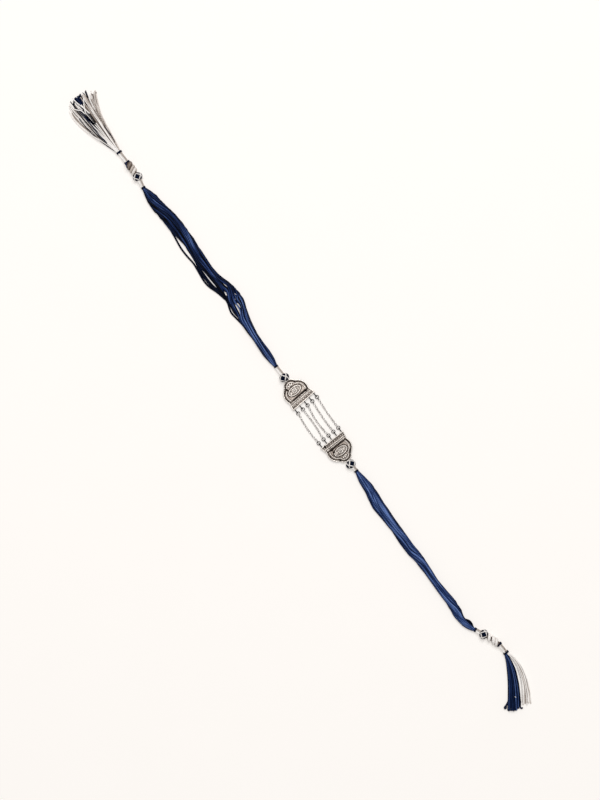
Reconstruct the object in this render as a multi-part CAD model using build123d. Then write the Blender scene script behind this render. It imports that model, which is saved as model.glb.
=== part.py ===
from build123d import *
from collections import namedtuple
import math
import os

os.makedirs("parts", exist_ok=True)

# A thread bracelet: two cast silver plates joined by five fine chains, and on each side a silk tie of
# loose navy strands with a ball knot at both of its ends, a white hitch knot and a tassel.
# Lengths are millimetres. +X runs along the bracelet to the right tassel, +Z is up, and z = 0 is the
# table that it lies on. The origin is the middle of the pendant's underside.

# Clear space between pieces of thread, and between linked wires
thread_gap = 0.12
link_gap = 0.16

# Pendant plates
edge_distance = 18.8
plate_length = 10.9
plate_half_width = 5.8
plate_base = 0.8
plate_field = 1.05
plate_relief = 0.24
rim_width = 0.42
rim_height = 1.5
rim_groove = 0.42
rim_round = 0.14
line_inset = 1.2
line_width = 0.26
left_plate_turn = 5.0
right_plate_turn = 2.0
left_plate_aside = -0.45
right_plate_aside = 0.0

# Places on a plate's outline, as shares of its length from the straight edge and of its half width
waist_share = (0.29, 0.875)
lobe_share = (0.62, 0.865)
notch_share = (0.815, 0.5)
notch_pit_radius = 0.3

# Border by a plate's straight edge: a row of granules, two rails and a sunk slot
granule_count = 10
granule_radius = 0.36
granule_row_at = 0.95
granule_channel = 0.8
border_half_width = 4.95
first_rail_at = 1.85
second_rail_at = 2.5
rail_radius = 0.24
slot_at = 3.2
slot_width = 0.42
slot_half_length = 3.8

# Flower panel, worked from its centre on the plate
panel_at = 5.75
panel_half_length = 2.05
panel_half_width = 3.35
panel_groove = 0.3
flower_eye_radius = 0.42
petal_count = 8
petal_length = 0.86
petal_width = 0.52
petal_round = 0.1
curl_radius = 0.46
curl_wire = 0.26
bead_radius = 0.2
bead_shift = 0.78
relief_root = 0.08
leaf_length = 1.05
leaf_width = 0.62
tip_leaf_at = 8.6
tip_leaf_turn = 50
tip_leaf_spread = 0.9
lobe_beads = ((7.65, 2.68), (8.4, 2.08))

# Tongue at a plate's tip, hidden in the inner ball knot
tongue_reach = 1.5
tongue_width = 0.7
tongue_thickness = 0.4

# Chains, with the ears they hang from
chain_count = 5
ear_pitch = 2.5
ear_reach = 1.9
ear_half_width = 0.48
ear_wire = 0.4
ring_wire = 0.28
wire = 0.21
loop_height = 0.72
chain_sag = 0.14
least_pitch = 0.74

# Thread pieces
ball_length = 2.8
ball_width = 4.4
ball_height = 3.8
ball_bore = 1.0
ball_bore_flare = 1.12
ball_ridge = 0.34
ball_threads = 5
ball_thread_width = 0.16
ball_twist = 1.0
ball_roundness = 1.2
neck_radius = 0.86
collar_radius = 0.98
collar_length = 1.0
wrap_radius = 1.25
wrap_length = 1.0
knot_radius = 1.65
knot_turn = 1.45
knot_tilt = -24.0
thread_turn = 0.34
thread_bulge = 0.18

# Each side's own lengths
left_inner_neck = 3.25
left_bundle = 87.75
left_bundle_width = 6.3
left_outer_neck = 2.55
left_knot = 4.9
left_tassel_neck = 3.8
left_tassel = 27.9
right_inner_neck = 1.3
right_bundle = 77.9
right_bundle_width = 5.1
right_outer_neck = 1.5
right_knot = 5.0
right_tassel_neck = 2.9
right_tassel = 21.7

# Bundle and tassel sections
bundle_thickness = 2.4
bundle_squareness = 0.8
strand_ridges = 13
strand_ridge = 0.16
tassel_width = 10.0
tassel_root = 0.92
head_length = 1.5
root_depth = 0.3
root_spread = 0.6
lock_width = 1.55
lock_thickness = 1.1
lock_root_width = 0.3
lock_root_thickness = 0.4
lock_growth = 2.0
lock_fall = 0.3
lock_stations = (0, 0.12, 0.24, 0.36, 0.5, 0.64, 0.78, 0.9, 1)

# Facets of the pieces that are made from rings of points
ball_facets = (40, 11)
lock_facets = 8

# Heights of the thread's centre line above the table, and how far a bundle takes to come down to it
ball_level = ball_height / 2
collar_level = 1.3
knot_level = knot_radius + 0.08
wrap_level = wrap_radius + 0.02
bundle_fall = 6.0

# How far each chain bows sideways at its middle, from the one at lowest y to the one at highest y
chain_bow = (-0.5, 0.3, -0.7, -0.3, -0.2)

# Heading of each piece in plan, in degrees from straight out, positive towards +Y
Headings = namedtuple("Headings", "inner_ball inner_neck collar outer_neck outer_ball knot wrap tassel_neck")
left_headings = Headings(4, 0, 0, 10, 6, 0, 0, -2)
right_headings = Headings(0, 2, 30, 27, 25, 21, 8, 3)

# Sections of a bundle. along is a share of its length, aside and width are shares of its width,
# and thick is a share of the bundle's thickness.
Section = namedtuple("Section", "along aside width thick")
left_sections = [
    Section(0.000, 0.00, 0.30, 0.80),
    Section(0.027, 0.01, 0.46, 0.94),
    Section(0.061, 0.02, 0.54, 0.92),
    Section(0.163, 0.04, 0.46, 1.00),
    Section(0.231, 0.13, 0.67, 0.86),
    Section(0.276, 0.26, 0.83, 0.80),
    Section(0.321, 0.40, 0.92, 0.88),
    Section(0.367, 0.44, 0.97, 0.92),
    Section(0.419, 0.32, 1.00, 0.84),
    Section(0.468, 0.10, 1.00, 0.72),
    Section(0.502, 0.01, 1.00, 0.70),
    Section(0.570, 0.05, 0.92, 0.72),
    Section(0.638, 0.21, 0.78, 0.80),
    Section(0.706, 0.24, 0.86, 0.76),
    Section(0.774, 0.18, 0.97, 0.70),
    Section(0.842, 0.13, 0.90, 0.74),
    Section(0.910, 0.01, 0.81, 0.80),
    Section(0.943, 0.00, 0.76, 0.84),
    Section(0.977, 0.00, 0.52, 0.88),
    Section(1.000, -0.02, 0.30, 0.80),
]
right_sections = [
    Section(0.000, 0.00, 0.37, 0.80),
    Section(0.042, -0.04, 0.65, 0.94),
    Section(0.080, -0.04, 0.78, 0.94),
    Section(0.118, -0.07, 0.84, 0.88),
    Section(0.156, -0.15, 0.96, 0.80),
    Section(0.194, -0.21, 1.00, 0.78),
    Section(0.270, -0.20, 0.86, 0.86),
    Section(0.346, -0.22, 0.75, 0.94),
    Section(0.422, -0.20, 0.86, 0.86),
    Section(0.479, -0.26, 0.88, 0.86),
    Section(0.536, -0.17, 0.76, 0.92),
    Section(0.612, -0.14, 0.67, 0.96),
    Section(0.688, -0.22, 0.63, 1.00),
    Section(0.764, -0.20, 0.71, 0.94),
    Section(0.821, -0.14, 0.76, 0.90),
    Section(0.878, -0.23, 0.76, 0.90),
    Section(0.916, -0.31, 0.60, 0.94),
    Section(0.954, -0.27, 0.55, 0.94),
    Section(0.980, -0.13, 0.48, 0.88),
    Section(1.000, 0.00, 0.37, 0.80),
]

# Locks of a tassel. reach is a share of the tassel's length; near, middle and tip are how far aside the
# lock runs at 0.35, 0.7 and the whole of its reach, as shares of the tassel's width; layer 0 lies on the
# table and 1 on the locks below; falls is the share of its reach where the lock starts to come down
# from the head; wide and thick are shares of the lock's own width and thickness.
Lock = namedtuple("Lock", "reach near middle tip layer falls wide thick")
left_white_locks = [
    Lock(0.90, 0.17, 0.34, 0.66, 0, 0.36, 1.0, 1.0),
    Lock(0.94, 0.13, 0.26, 0.52, 0, 0.36, 1.0, 1.0),
    Lock(0.98, 0.07, 0.17, 0.28, 1, 0.36, 1.0, 1.0),
    Lock(0.95, 0.00, 0.07, 0.14, 1, 0.36, 1.0, 1.0),
    Lock(0.93, -0.08, -0.04, -0.04, 1, 0.36, 1.0, 1.0),
    Lock(0.95, -0.17, -0.20, -0.23, 1, 0.36, 1.0, 1.0),
    Lock(0.95, -0.26, -0.37, -0.40, 1, 0.36, 1.0, 1.0),
    Lock(0.90, -0.35, -0.56, -0.53, 0, 0.36, 1.0, 1.0),
]
left_navy_locks = [
    Lock(1.00, 0.01, 0.06, 0.07, 0, 0.00, 1.1, 1.0),
    Lock(1.00, -0.04, -0.05, -0.06, 0, 0.00, 1.1, 1.0),
    Lock(0.99, -0.09, -0.16, -0.18, 0, 0.00, 1.1, 1.0),
    Lock(0.98, -0.14, -0.27, -0.31, 0, 0.00, 1.1, 1.0),
]
right_white_locks = [
    Lock(0.96, 0.00, -0.29, -0.71, 0, 0.00, 0.8, 1.0),
    Lock(1.00, 0.05, -0.20, -0.60, 0, 0.00, 0.8, 1.0),
    Lock(1.00, 0.10, -0.11, -0.48, 0, 0.00, 0.8, 1.0),
]
right_navy_locks = [
    Lock(0.95, -0.12, -0.46, -0.88, 0, 0.00, 0.9, 1.4),
    Lock(0.96, -0.19, -0.58, -1.00, 0, 0.00, 0.9, 1.5),
    Lock(0.93, -0.27, -0.69, -1.13, 0, 0.00, 0.9, 1.5),
    Lock(0.89, -0.34, -0.80, -1.26, 0, 0.00, 0.9, 1.4),
]


def at(x, y, z=0.0):
    return Location((x, y, z))


def dome(x, y, radius, z):
    return at(x, y, z) * Sphere(radius)


def on_outline(share):
    return (share[0] * plate_length, share[1] * plate_half_width)


def plate_outline():
    """A plate from its straight edge at x = 0 to its round tip, with a waist and a notch on each side."""
    waist, lobe, notch = (on_outline(s) for s in (waist_share, lobe_share, notch_share))
    low = [(x, -y) for x, y in (waist, lobe, notch)]
    corner = (0, plate_half_width)
    edges = [
        Line((0, -plate_half_width), corner),
        Line(corner, waist),
        ThreePointArc(waist, lobe, notch),
        ThreePointArc(notch, (plate_length, 0), low[2]),
        ThreePointArc(low[2], low[1], low[0]),
        Line(low[0], (0, -plate_half_width)),
    ]
    return make_face(edges)


def border():
    """The granules and rails beside the straight edge."""
    step = 2 * (border_half_width - granule_radius) / (granule_count - 1)
    first = -border_half_width + granule_radius
    pieces = [dome(granule_row_at, first + i * step, granule_radius, plate_field)
              for i in range(granule_count)]
    for place in (first_rail_at, second_rail_at):
        rail = Cylinder(rail_radius, 2 * border_half_width)
        pieces.append(Location((place, 0, plate_field), (90, 0, 0)) * rail)
    return pieces


def leaf(x, y, length, width, turn, base):
    """A raised leaf with a rounded top edge, its middle at x, y, rooted a little below its field."""
    blade = extrude(Ellipse(length / 2, width / 2), plate_relief + relief_root)
    blade = fillet(blade.edges().group_by(Axis.Z)[-1], petal_round)
    return Location((x, y, base - relief_root), (0, 0, turn)) * blade


def curl(x, y, turn, base):
    """Three quarters of a ring of round wire, half sunk in the field."""
    section = Location((curl_radius, 0, 0), (90, 0, 0)) * Circle(curl_wire / 2)
    ring = revolve(section, Axis.Z, 270)
    return Location((x, y, base), (0, 0, turn)) * ring


def flower():
    """The open flower of the panel, with leaves and curls on both sides of it."""
    top = plate_field + plate_relief
    pieces = [dome(panel_at, 0, flower_eye_radius, top)]
    ring = flower_eye_radius - relief_root + petal_length / 2
    for i in range(petal_count):
        turn = 360 / petal_count * (i + 0.5)
        x = panel_at + ring * math.cos(math.radians(turn))
        y = ring * math.sin(math.radians(turn))
        pieces.append(leaf(x, y, petal_length, petal_width, turn, top))
    room = panel_half_width - panel_groove - 2 * line_width
    side = room - curl_radius - curl_wire
    for sign in (-1, 1):
        pieces.append(curl(panel_at, sign * side, 90 - 135 * sign, top))
        for shift in (-bead_shift, bead_shift):
            pieces.append(dome(panel_at + shift, sign * (side - curl_radius), bead_radius, top))
    return pieces


def wire_oval():
    """A thin raised line round the flower, just inside the panel's groove."""
    half_length = panel_half_length - panel_groove - line_width / 2
    half_width = panel_half_width - panel_groove - line_width / 2
    oval = Ellipse(half_length, half_width) - Ellipse(half_length - line_width, half_width - line_width)
    return at(panel_at, 0) * extrude(oval, plate_field + 2 * plate_relief)


def tip_field():
    """Three leaves towards the tip, and two beads in each side lobe."""
    pieces = []
    for turn in (-tip_leaf_turn, 0, tip_leaf_turn):
        angle = math.radians(turn)
        x = tip_leaf_at + leaf_length / 2 * (math.cos(angle) - 1)
        y = tip_leaf_spread * math.sin(angle)
        pieces.append(leaf(x, y, leaf_length, leaf_width, turn, plate_field))
    for x, y in lobe_beads:
        pieces += [dome(x, y, bead_radius, plate_field), dome(x, -y, bead_radius, plate_field)]
    return pieces


def stadium(half_length, half_width, thick):
    """A closed loop of round wire lying in XY, round at both ends."""
    straight = half_length - half_width
    path = Wire([
        Edge.make_line((-straight, half_width), (straight, half_width)),
        Edge.make_three_point_arc((straight, half_width), (half_length, 0), (straight, -half_width)),
        Edge.make_line((straight, -half_width), (-straight, -half_width)),
        Edge.make_three_point_arc((-straight, -half_width), (-half_length, 0), (-straight, half_width)),
    ])
    section = Plane(origin=(-straight, half_width, 0), z_dir=(1, 0, 0)) * Circle(thick / 2)
    return sweep(section, path=path)


def ear_places():
    return [(i - (chain_count - 1) / 2) * ear_pitch for i in range(chain_count)]


def plate():
    """One plate: base, rim, border, flower panel, ears for the chains and the tongue at its tip."""
    outline = plate_outline()
    inside = offset(outline, -rim_width)
    middle = offset(outline, -rim_width - rim_groove)
    slot_end = slot_at + slot_width / 2
    body = extrude(outline, plate_base)
    rim = extrude(outline - inside, rim_height)
    body += fillet(rim.edges().group_by(Axis.Z)[-1], rim_round)
    beyond_slot = at((slot_end + plate_length) / 2, 0) * Rectangle(plate_length - slot_end,
                                                                  2 * plate_half_width)
    body += extrude(middle & beyond_slot, plate_field)
    line = offset(outline, -line_inset) - offset(outline, -line_inset - line_width)
    body += extrude(line & beyond_slot, plate_field + plate_relief)
    before_slot = slot_at - slot_width / 2
    band = at(before_slot / 2, 0) * Rectangle(before_slot, 2 * border_half_width)
    body += extrude(band, plate_field)
    body -= at(slot_at, 0, plate_base) * Box(slot_width, 2 * slot_half_length, plate_base)
    channel = Box(granule_channel, 2 * border_half_width, 2 * (plate_field - plate_base))
    body -= at(granule_row_at, 0, plate_field) * channel
    panel = at(panel_at, 0) * Ellipse(panel_half_length, panel_half_width)
    groove = panel - at(panel_at, 0) * Ellipse(panel_half_length - panel_groove,
                                               panel_half_width - panel_groove)
    body -= at(0, 0, plate_base) * extrude(groove, plate_field)
    raised = at(panel_at, 0) * Ellipse(panel_half_length - panel_groove, panel_half_width - panel_groove)
    body += extrude(raised, plate_field + plate_relief)
    body += wire_oval()
    body += border() + flower() + tip_field()
    notch_x, notch_y = on_outline(notch_share)
    for sign in (-1, 1):
        pit = Cylinder(notch_pit_radius, 2 * (rim_height - plate_base))
        body -= at(notch_x - notch_pit_radius, sign * (notch_y - notch_pit_radius), rim_height) * pit
    ear = Rot(90, 0, 0) * stadium(ear_reach / 2 + ear_wire / 4, ear_half_width, ear_wire)
    for y in ear_places():
        body += at(-ear_reach / 2 + ear_wire / 4, y, loop_height) * ear
    tongue = Box(rim_width + tongue_reach, tongue_width, tongue_thickness)
    middle_of_tongue = plate_length + (tongue_reach - rim_width) / 2
    body += at(middle_of_tongue, 0, rim_height - tongue_thickness / 2) * tongue
    return body


def plate_place(side):
    """Where a plate's own origin goes: the plate is moved aside and turned about its middle."""
    turn = left_plate_turn if side < 0 else right_plate_turn
    aside = left_plate_aside if side < 0 else right_plate_aside
    middle = Location((side * (edge_distance + plate_length) / 2, aside, 0),
                      (0, 0, turn + (180 if side < 0 else 0)))
    return middle * at(-plate_length / 2, 0)


def chain(number):
    """Two jump rings and the links between them, every link turned a quarter from the last."""
    y = ear_places()[number]
    ear_end = -ear_reach - ear_wire / 2
    ring_near = ear_end + ear_wire + link_gap + ring_wire / 2
    link_near = ear_end - link_gap - wire / 2
    ring_far = link_near - wire / 2 - link_gap - ring_wire / 2
    ring_radius = (ring_near - ring_far) / 2
    ring = Torus(ring_radius, ring_wire / 2)
    rings = []
    ends = []
    for side in (-1, 1):
        own = y if side > 0 else -y
        place = plate_place(side)
        rings.append(place * at((ring_near + ring_far) / 2, own, loop_height) * ring)
        ends.append((place * at(link_near, own, loop_height)).position)
    start, finish = ends
    span = (finish - start).length
    # with n + 1 links whose ends are held n pitches and one link length apart
    steps = 2 * int((span / least_pitch - 1.5) / 2)
    pitch = (span - wire - link_gap) / (steps + 1)
    half_length = (pitch + wire + link_gap) / 2
    link = stadium(half_length, wire + link_gap, wire)
    links = []
    for i in range(steps + 1):
        share = (half_length + i * pitch) / span
        wave = math.sin(math.pi * share)
        slope = math.pi * chain_bow[number] * math.cos(math.pi * share) / span
        point = start + (finish - start) * share + Vector(0, chain_bow[number] * wave, -chain_sag * wave)
        aim = math.degrees(math.atan2(finish.Y - start.Y, finish.X - start.X) + math.atan(slope))
        roll = 90 * (i + 1) + 45 * wave
        links.append(Location(point, (0, 0, aim)) * Rot(roll, 0, 0) * link)
    return Compound(children=[rings[0], *links, rings[1]])


def faceted(triangles):
    return Solid(Shell([Face(Wire.make_polygon(t)) for t in triangles]))


def skin(rings, hollow=False):
    """A solid from rings of points: closed at both ends, or joined end to end when hollow."""
    n = len(rings[0])
    triangles = []
    pairs = list(zip(rings, rings[1:]))
    if hollow:
        pairs.append((rings[-1], rings[0]))
    for a, b in pairs:
        for i in range(n):
            j = (i + 1) % n
            triangles.append((a[i], a[j], b[j]))
            triangles.append((a[i], b[j], b[i]))
    if not hollow:
        for ring, flip in ((rings[0], True), (rings[-1], False)):
            centre = sum(ring, Vector()) / n
            for i in range(n):
                j = (i + 1) % n
                triangles.append((ring[j], ring[i], centre) if flip else (ring[i], ring[j], centre))
    return faceted(triangles)


def ball():
    """A flat ball of crossing threads round a bore, from x = 0 to its length."""
    around, along = ball_facets
    bore_share = ball_bore * ball_bore_flare / (ball_width / 2)
    first = math.asin(bore_share ** ball_roundness)
    rings = []
    for k in range(along + 1):
        share = k / along
        angle = first + (math.pi - 2 * first) * share
        x = ball_length / 2 * (1 - math.cos(angle) / math.cos(first))
        swell = math.sin(angle) ** (1 / ball_roundness)
        ring = []
        for i in range(around):
            turn = 2 * math.pi * i / around
            raised = 0.0
            for hand in (-1, 1):
                phase = ball_threads * i / around + hand * share * ball_twist
                off = abs(phase - round(phase))
                raised = max(raised, math.exp(-((off / ball_thread_width) ** 2)))
            low = ball_ridge * (1 - raised) * math.sin(math.pi * share)
            ring.append(Vector(x, (ball_width / 2 * swell - low) * math.cos(turn),
                               (ball_height / 2 * swell - low) * math.sin(turn)))
        rings.append(ring)
    for x in (ball_length - ball_ridge / 2, ball_length / 2, ball_ridge / 2):
        rings.append([Vector(x, ball_bore * math.cos(2 * math.pi * i / around),
                             ball_bore * math.sin(2 * math.pi * i / around)) for i in range(around)])
    return skin(rings, hollow=True)


def wound(radius, length, turn=thread_turn):
    """A cord wound with thread, from x = 0 to its length, one bulge for each turn."""
    turns = max(2, round(length / turn))
    step = length / turns
    dip = radius - thread_bulge * step
    edges = [Line((0, 0), (0, dip))]
    for i in range(turns):
        edges.append(ThreePointArc((i * step, dip), ((i + 0.5) * step, radius), ((i + 1) * step, dip)))
    edges += [Line((length, dip), (length, 0)), Line((length, 0), (0, 0))]
    return revolve(make_face(edges), Axis.X, 360)


def neck(start, finish, heading):
    """A cord from start to finish, level at both ends, rising or falling along two equal arcs."""
    ahead = Vector(math.cos(heading), math.sin(heading), 0)
    middle = (start + finish) / 2
    rise = Edge.make_tangent_arc(start, ahead, middle)
    path = Wire([rise, Edge.make_tangent_arc(middle, rise % 1, finish)])
    return sweep(Plane(origin=start, z_dir=ahead) * Circle(neck_radius), path=path)


def knot(length):
    """A white hitch: a core with three fat turns laid slantwise round it."""
    body = Rot(0, 90, 0) * Cylinder(knot_radius - knot_turn / 2, length,
                                    align=(Align.CENTER, Align.CENTER, Align.MIN))
    turn = Torus(knot_radius - knot_turn / 2, knot_turn / 2)
    inset = knot_turn / 2 + (knot_radius - knot_turn / 2) * math.sin(math.radians(abs(knot_tilt)))
    for share in (0, 0.5, 1):
        x = inset + (length - 2 * inset) * share
        body += Location((x, 0, 0), (0, 90, 0)) * Rot(knot_tilt, 0, 0) * turn
    return body


def bundle(start, side, length, width, sections):
    """A flat bundle of silk strands lying on the table, ridged along its strands."""
    middles = [Vector(start.X + side * s.along * length, start.Y + s.aside * width) for s in sections]
    rings = []
    for k, s in enumerate(sections):
        before, after = middles[max(0, k - 1)], middles[min(len(middles) - 1, k + 1)]
        ahead = (after - before).normalized()
        across = Vector(-ahead.Y, ahead.X, 0)
        half_thick = s.thick * bundle_thickness / 2
        half_wide = s.width * width / 2 * abs(ahead.X)
        from_end = min(s.along, 1 - s.along) * length
        rise = max(0, 1 - from_end / bundle_fall) * (collar_level - half_thick)
        ring = []
        points = 3 * strand_ridges
        for i in range(points):
            turn = 2 * math.pi * i / points
            dip = strand_ridge * (i % 3 == 0) * min(1, half_wide / half_thick / 2)
            y = (half_wide - dip) * math.cos(turn)
            z = half_thick * math.copysign(abs(math.sin(turn)) ** bundle_squareness, math.sin(turn))
            z -= math.copysign(min(dip, abs(z)), z)
            ring.append(middles[k] + across * y + Vector(0, 0, half_thick + rise + z))
        rings.append(ring)
    return skin(rings), middles[-1]


def spline_share(values, share):
    """A smooth line through values at 0, 0.35, 0.7 and 1, read at a share of the way."""
    stations = (0, 0.35, 0.7, 1)
    total = 0
    for i, a in enumerate(stations):
        weight = 1
        for j, b in enumerate(stations):
            if j != i:
                weight *= (share - b) / (a - b)
        total += weight * values[i]
    return total


def lock_skin(row, root, side, length, spread):
    """One lock of a tassel, from its root in the head to its cut end. spread is how far aside it starts."""
    high = lock_thickness * row.thick / 2 + row.layer * (lock_thickness + thread_gap)
    centres = []
    for share in lock_stations:
        x = root.X + side * share * row.reach * length
        values = (spread, row.near * tassel_width, row.middle * tassel_width, row.tip * tassel_width)
        y = root.Y + spline_share(values, share)
        drop = min(1, max(0, (share - row.falls) / lock_fall))
        drop = drop * drop * (3 - 2 * drop)
        centres.append(Vector(x, y, root.Z + (high - root.Z) * drop))
    rings = []
    for k, share in enumerate(lock_stations):
        before, after = centres[max(0, k - 1)], centres[min(len(centres) - 1, k + 1)]
        ahead = (after - before).normalized()
        across = Vector(-ahead.Y, ahead.X, 0).normalized()
        half_wide = lock_width * row.wide / 2 * min(1, lock_root_width + lock_growth * share)
        half_thick = lock_thickness * row.thick / 2 * min(1, lock_root_thickness + lock_growth * share)
        # flats, not corners, lie on top and below, so the ring is grown to keep its full size
        full = 1 / math.cos(math.pi / lock_facets)
        ring = []
        for i in range(lock_facets):
            turn = 2 * math.pi * (i + 0.5) / lock_facets
            y = half_wide * full * math.cos(turn)
            z = half_thick * full * math.sin(turn)
            ring.append(centres[k] + across * y + Vector(0, 0, z))
        rings.append(ring)
    return skin(rings)


def tassel_part(start, side, length, rows, cut_turn):
    """Half of a tassel: a half-round head and the locks fused to it. cut_turn turns the half's flat face."""
    half = Cylinder(tassel_root, head_length, align=(Align.CENTER, Align.CENTER, Align.MIN))
    half -= at(0, -tassel_root + thread_gap / 2) * Box(2 * tassel_root, 2 * tassel_root, 2 * head_length)
    lean = Vector(0, math.cos(math.radians(cut_turn)), math.sin(math.radians(cut_turn)))
    place = Plane(origin=start, x_dir=Vector(0, lean.Z, -lean.Y) * side, z_dir=(side, 0, 0))
    body = place.location * half
    root = start + Vector(side * root_depth, 0, 0) + lean * (tassel_root / 2)
    room = tassel_root * (root_spread * abs(lean.Z) + root_spread / 2 * abs(lean.Y))
    order = sorted(row.near for row in rows)
    for row in rows:
        spread = room * (2 * order.index(row.near) / (len(rows) - 1) - 1)
        body += lock_skin(row, root, side, length, spread)
    return body


class Walk:
    """Lays pieces one after the other outwards from the pendant, a gap apart."""

    def __init__(self, side):
        self.side = side
        self.name = "left" if side < 0 else "right"
        tip = (plate_place(side) * at(plate_length, 0)).position
        self.point = Vector(tip.X, tip.Y, ball_level)
        self.heading = 0
        self.radius = 0
        self.made = {}

    def ahead(self):
        angle = math.radians(self.heading)
        return Vector(self.side * math.cos(angle), math.sin(angle), 0)

    def turn_to(self, heading, radius):
        """Goes on at a new heading, past the corner where two round pieces would meet at an angle."""
        corner = min(radius, self.radius) * math.sin(math.radians(abs(heading - self.heading)))
        self.heading = heading
        self.radius = radius
        self.point += self.ahead() * (thread_gap + corner)

    def lay(self, name, length, heading, radius, solid, lean=0.0):
        """Lays a piece made along its own +X, its far end lower than its near end by lean."""
        self.turn_to(heading, radius)
        finish = self.point + self.ahead() * length - Vector(0, 0, lean)
        across = Vector(0, 0, 1).cross(self.ahead())
        along = (finish - self.point).normalized()
        place = Plane(origin=self.point, x_dir=along, z_dir=along.cross(across))
        self.made[f"{name}_{self.name}"] = place.location * solid
        self.point = finish

    def lay_neck(self, name, length, heading, level):
        self.turn_to(heading, neck_radius)
        finish = self.point + self.ahead() * length
        finish.Z = level
        angle = math.atan2(self.ahead().Y, self.ahead().X)
        self.made[f"{name}_{self.name}"] = neck(self.point, finish, angle)
        self.point = finish


def build_side(side):
    walk = Walk(side)
    left = side < 0
    turn = left_headings if left else right_headings
    collar = wound(collar_radius, collar_length)
    wrap = wound(wrap_radius, wrap_length)
    walk.lay("ball_inner", ball_length, turn.inner_ball, ball_bore, ball())
    walk.lay_neck("neck_inner", left_inner_neck if left else right_inner_neck, turn.inner_neck, collar_level)
    walk.lay("collar_inner", collar_length, 0, collar_radius, collar)
    walk.turn_to(0, collar_radius)
    solid, end = bundle(walk.point, side, left_bundle if left else right_bundle,
                        left_bundle_width if left else right_bundle_width,
                        left_sections if left else right_sections)
    walk.made[f"bundle_{walk.name}"] = solid
    walk.point = Vector(end.X, end.Y, collar_level)
    walk.lay("collar_outer", collar_length, turn.collar, collar_radius / 2, collar)
    walk.lay_neck("neck_outer", left_outer_neck if left else right_outer_neck, turn.outer_neck, ball_level)
    walk.lay("ball_outer", ball_length, turn.outer_ball, ball_bore, ball())
    walk.lay("knot", left_knot if left else right_knot, turn.knot, knot_radius,
             knot(left_knot if left else right_knot), ball_level - knot_level)
    walk.lay("wrap_ring", wrap_length, turn.wrap, wrap_radius, wrap)
    walk.lay_neck("neck_tassel", left_tassel_neck if left else right_tassel_neck, turn.tassel_neck,
                  wrap_level)
    walk.lay("wrap_tassel", wrap_length, 0, wrap_radius, wrap)
    walk.turn_to(0, tassel_root)
    length = left_tassel if left else right_tassel
    white = left_white_locks if left else right_white_locks
    navy = left_navy_locks if left else right_navy_locks
    white_up = 90 if left else 0
    walk.made[f"tassel_white_{walk.name}"] = tassel_part(walk.point, side, length, white, white_up)
    walk.made[f"tassel_navy_{walk.name}"] = tassel_part(walk.point, side, length, navy, white_up + 180)
    return walk.made


def main():
    shape = plate()
    nodes = {
        "plate_left": plate_place(-1) * shape,
        "plate_right": plate_place(1) * shape,
    }
    for number in range(chain_count):
        nodes[f"chain_{number + 1}"] = chain(number)
    for side in (-1, 1):
        nodes.update(build_side(side))
    for name, solid in nodes.items():
        export_step(solid, f"parts/{name}.step")


main()
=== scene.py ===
import math
import random
from collections import namedtuple
from functools import partial

import bpy
import numpy as np
from mathutils import Matrix, Vector


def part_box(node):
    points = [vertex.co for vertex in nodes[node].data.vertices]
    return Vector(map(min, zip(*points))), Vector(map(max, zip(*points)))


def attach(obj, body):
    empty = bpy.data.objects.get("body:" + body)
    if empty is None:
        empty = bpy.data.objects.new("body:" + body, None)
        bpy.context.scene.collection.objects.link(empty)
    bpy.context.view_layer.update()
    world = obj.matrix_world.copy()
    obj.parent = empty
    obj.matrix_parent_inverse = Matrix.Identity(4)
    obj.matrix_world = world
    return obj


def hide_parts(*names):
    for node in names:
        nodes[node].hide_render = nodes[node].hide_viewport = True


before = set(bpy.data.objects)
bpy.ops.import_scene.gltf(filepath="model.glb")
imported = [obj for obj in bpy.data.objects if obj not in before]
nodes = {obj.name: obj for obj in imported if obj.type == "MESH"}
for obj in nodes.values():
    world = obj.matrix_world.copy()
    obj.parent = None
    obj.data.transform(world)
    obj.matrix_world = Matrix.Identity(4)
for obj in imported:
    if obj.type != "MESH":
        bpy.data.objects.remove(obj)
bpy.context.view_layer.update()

# A thread bracelet laid open on a pale table: two blackened silver plates joined by fine chains, and on
# each side a tie of loose navy silk, ball knots of navy and white thread, a white hitch and a tassel.
# Lengths are metres. The origin is the middle of the pendant's underside, and z = 0 is the table.

mm = 0.001
signs = {"left": -1, "right": 1}

# Picture: what the camera sees of the table, the turn that lays the bracelet on the picture's diagonal,
# and the long lens of a product photograph
picture_height = 320 * mm
picture_centre = Vector((-10.84 * mm, -0.99 * mm, 0))
picture_turn = math.radians(53.5)
lens = 100.0
sensor = 36.0

# Thread: the radius of a strand, a white thread and a winding's thread, how its plies run, and how near a
# strand comes to the table
strand = 0.29 * mm
white_thread = 0.2 * mm
winding_thread = 0.15 * mm
ply_pitch = 2.4 * mm
ply_depth = 0.12
step_along = 0.5 * mm
table_gap = 0.03 * mm

# Collars: the height of their axis, how far the strands run in, and how they gather and thin there
collar_level = 1.3 * mm
collar_hold = 0.5 * mm
collar_gather = 0.35
collar_size = 0.45

# How far each plate is turned, the left one first
plate_turns = (math.radians(5), math.radians(2))

# Black on the plates: a slot at a distance from the pendant's middle, which stayed black, and round spots
# painted black, by points in millimetres, each with the two distances between which it fades
slot_at = 12.6 * mm
slot_edge = (0.2 * mm, 0.5 * mm)
slot_end = (3.1 * mm, 3.6 * mm)
black_pits = [(-17.1, -2.9), (-12.6, 3.2), (18.1, -2.4), (12.9, -2.6), (14.0, -2.5), (10.1, -4.1)]
pit_edge = (0.35 * mm, 0.6 * mm)

# Light: the softbox's power and size, the light from all round, and the light table's own
softbox_power = 17.0
softbox_size = 0.8
softbox_place = Vector((-0.45, 0.35, 1.4))
surround = 0.36
table_glow = 0.48
table_half = 3.0
table_level = -0.05 * mm

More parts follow.
